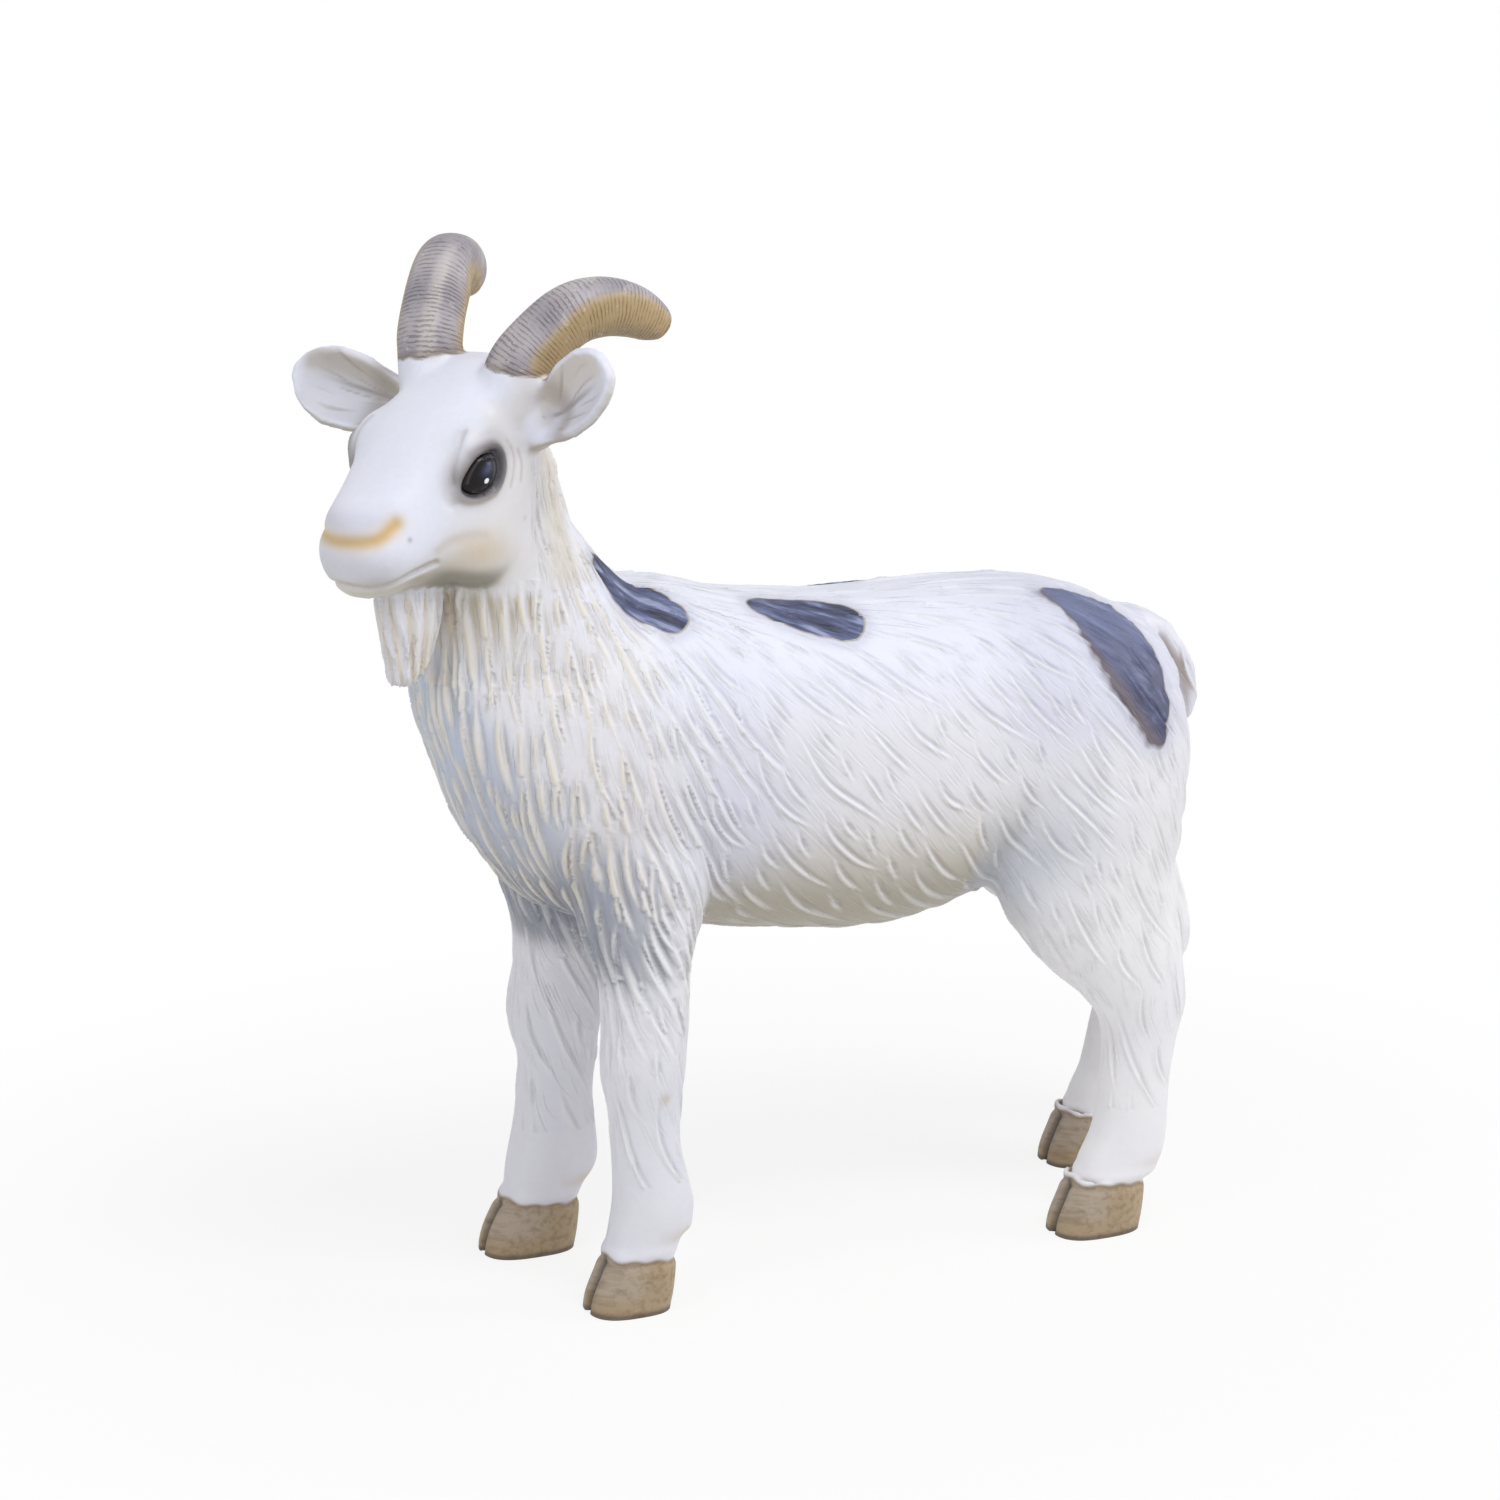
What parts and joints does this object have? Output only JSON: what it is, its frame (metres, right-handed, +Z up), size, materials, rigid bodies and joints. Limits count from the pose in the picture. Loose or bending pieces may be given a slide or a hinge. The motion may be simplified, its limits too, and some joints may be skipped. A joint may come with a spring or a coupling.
{
  "type": "goat figurine",
  "caption": "Standing goat garden figure with curved horns, beard, carved coat and turned head, cast as one piece that rests on its flat hooves.",
  "frame": {"origin": "on the ground, below the middle of the figure's outline", "axes": "+Z up, the goat faces -Y, and its left side is +X"},
  "size_m": [0.1992, 0.5484, 0.5529],
  "materials": {
    "painted_resin": "satin hand-painted white, with brown horns and hooves and dark patches"
  },
  "bodies": {
    "root": {"goat": "painted_resin"}
  },
  "joints": []
}
